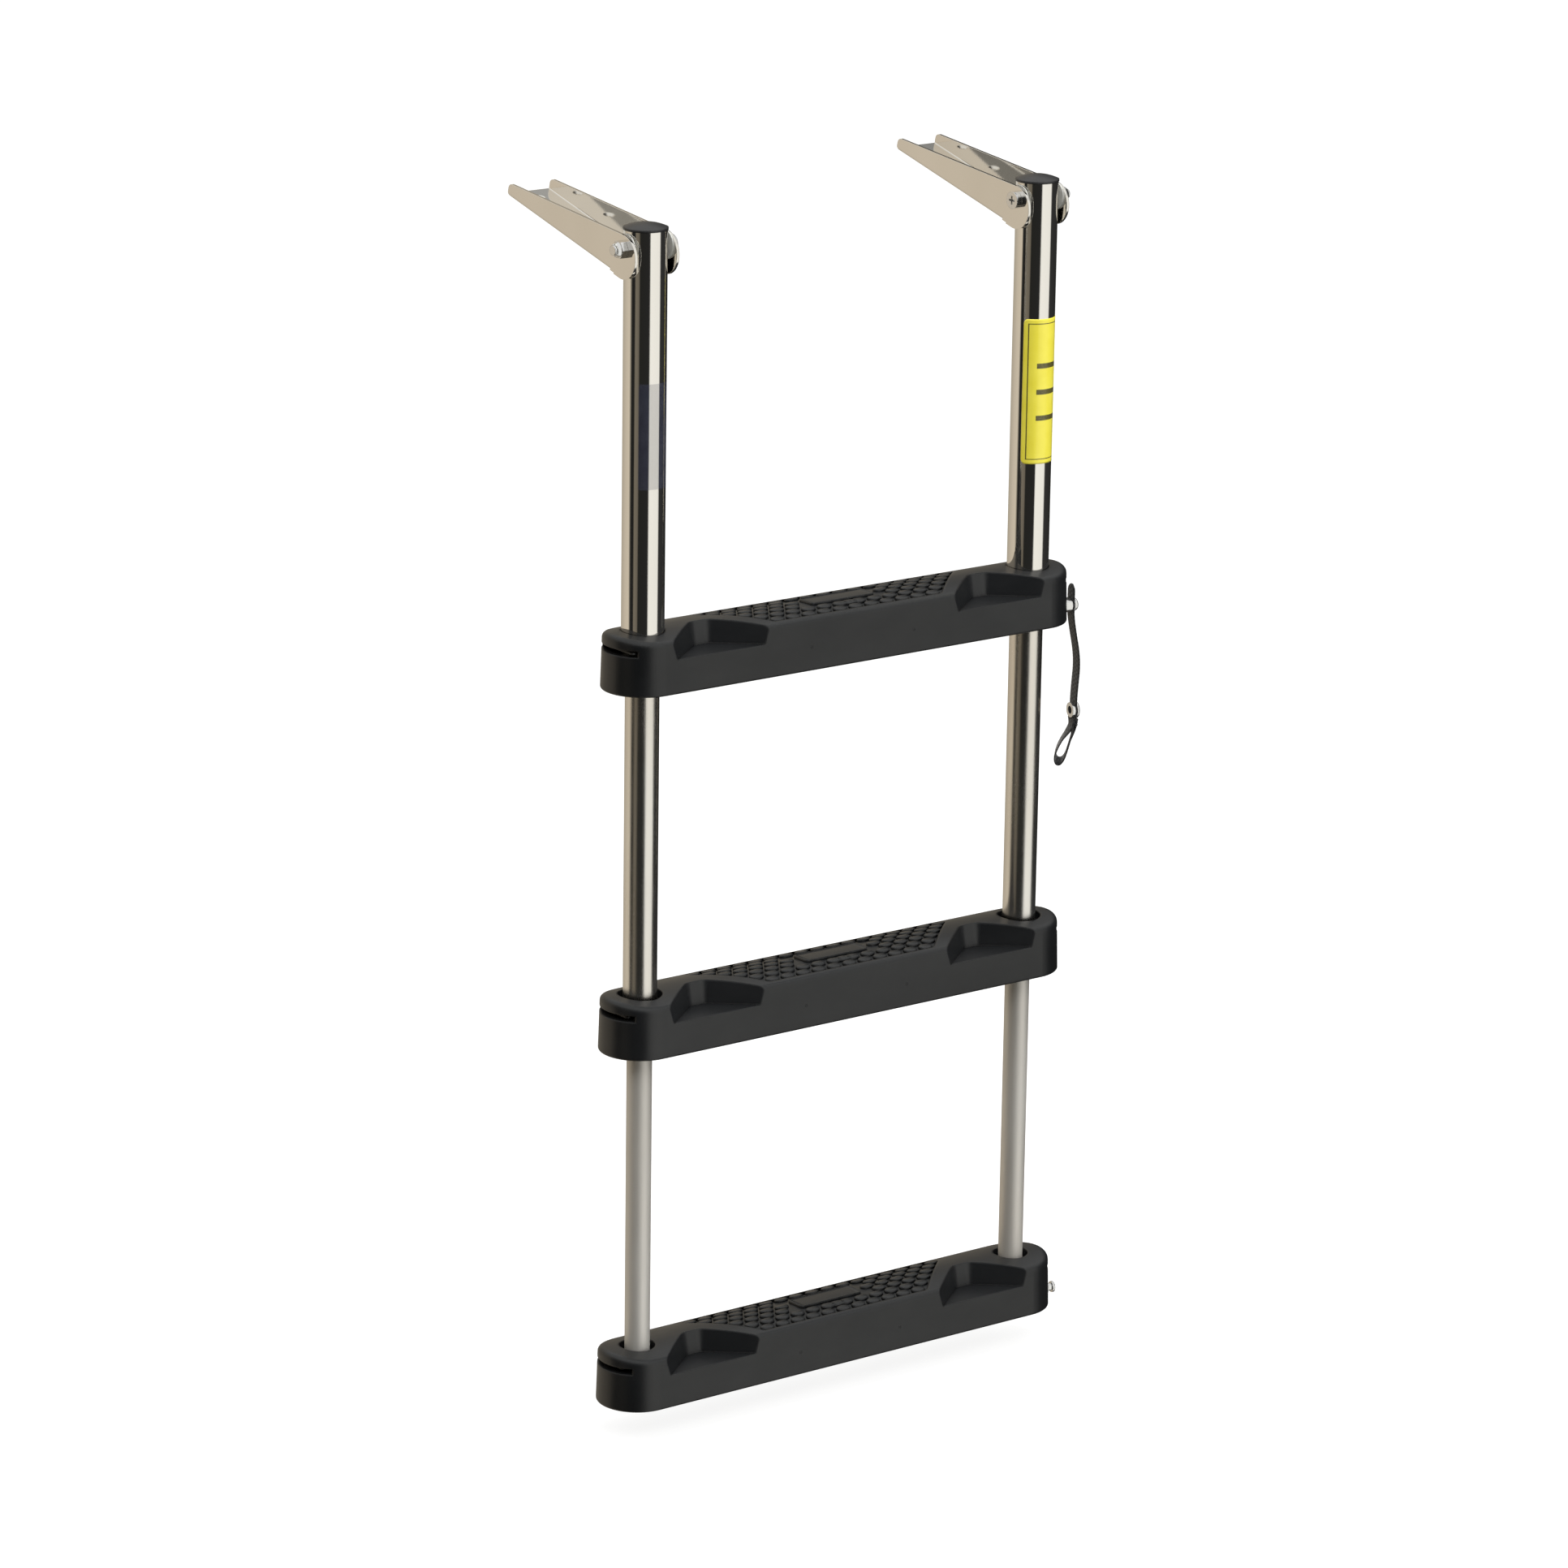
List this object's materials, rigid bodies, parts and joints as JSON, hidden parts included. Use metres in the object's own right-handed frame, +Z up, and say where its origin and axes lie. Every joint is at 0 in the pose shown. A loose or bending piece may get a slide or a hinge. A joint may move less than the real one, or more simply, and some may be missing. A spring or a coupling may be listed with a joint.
{
  "type": "boat boarding ladder",
  "caption": "Telescoping stainless boarding ladder with moulded steps, hinged on two folded brackets that bolt to a swim platform.",
  "frame": {"origin": "on the hinge axis, halfway between the two brackets", "axes": "+X along the steps to the right of a person facing the boat, +Y towards the boat, +Z up along the tubes"},
  "size_m": [0.4803, 0.1968, 0.9954],
  "materials": {
    "polished_steel": "mirror polished stainless",
    "satin_steel": "satin stainless",
    "fastener_steel": "bright stainless",
    "clip_steel": "stamped spring steel",
    "clear_nylon": "translucent",
    "cap_plastic": "smooth satin",
    "black_plastic": "fine moulded texture",
    "guide_plastic": "turned acetal",
    "black_webbing": "woven polyester webbing",
    "label_yellow": "printed vinyl",
    "clear_film": "clear film"
  },
  "bodies": {
    "brackets": {"bracket_left": "polished_steel", "bracket_right": "polished_steel", "pivot_bolts": "fastener_steel", "pivot_lock_nuts": "fastener_steel", "pivot_washers": "clear_nylon"},
    "upper_section": {"upper_tube_left": "polished_steel", "upper_tube_right": "polished_steel", "upper_step": "black_plastic", "tube_caps": "cap_plastic", "upper_clips": "clip_steel", "upper_guide_bushes": "guide_plastic", "tube_label": "label_yellow", "tube_film": "clear_film", "strap_spacer": "fastener_steel", "strap_washer": "fastener_steel", "strap_screw": "fastener_steel", "storage_strap": "black_webbing", "strap_snap": "fastener_steel"},
    "middle_section": {"middle_tube_left": "satin_steel", "middle_tube_right": "satin_steel", "middle_step": "black_plastic", "middle_clips": "clip_steel", "middle_guide_bushes": "guide_plastic", "middle_slide_collars": "guide_plastic"},
    "lower_section": {"lower_tube_left": "satin_steel", "lower_tube_right": "satin_steel", "lower_step": "black_plastic", "lower_clips": "clip_steel", "lower_slide_collars": "guide_plastic", "lower_tube_plugs": "guide_plastic", "snap_stud": "fastener_steel"}
  },
  "joints": [
    {"name": "hinge", "type": "hinge", "parent": "brackets", "child": "upper_section", "pos_m": [0, 0, 0], "axis": [1, 0, 0], "range_deg": [-254, 1]},
    {"name": "middle_slide", "type": "slide", "parent": "upper_section", "child": "middle_section", "axis": [0, 0, 1], "range_m": [0, 0.2565]},
    {"name": "lower_slide", "type": "slide", "parent": "middle_section", "child": "lower_section", "axis": [0, 0, 1], "range_m": [0, 0.2565]}
  ]
}
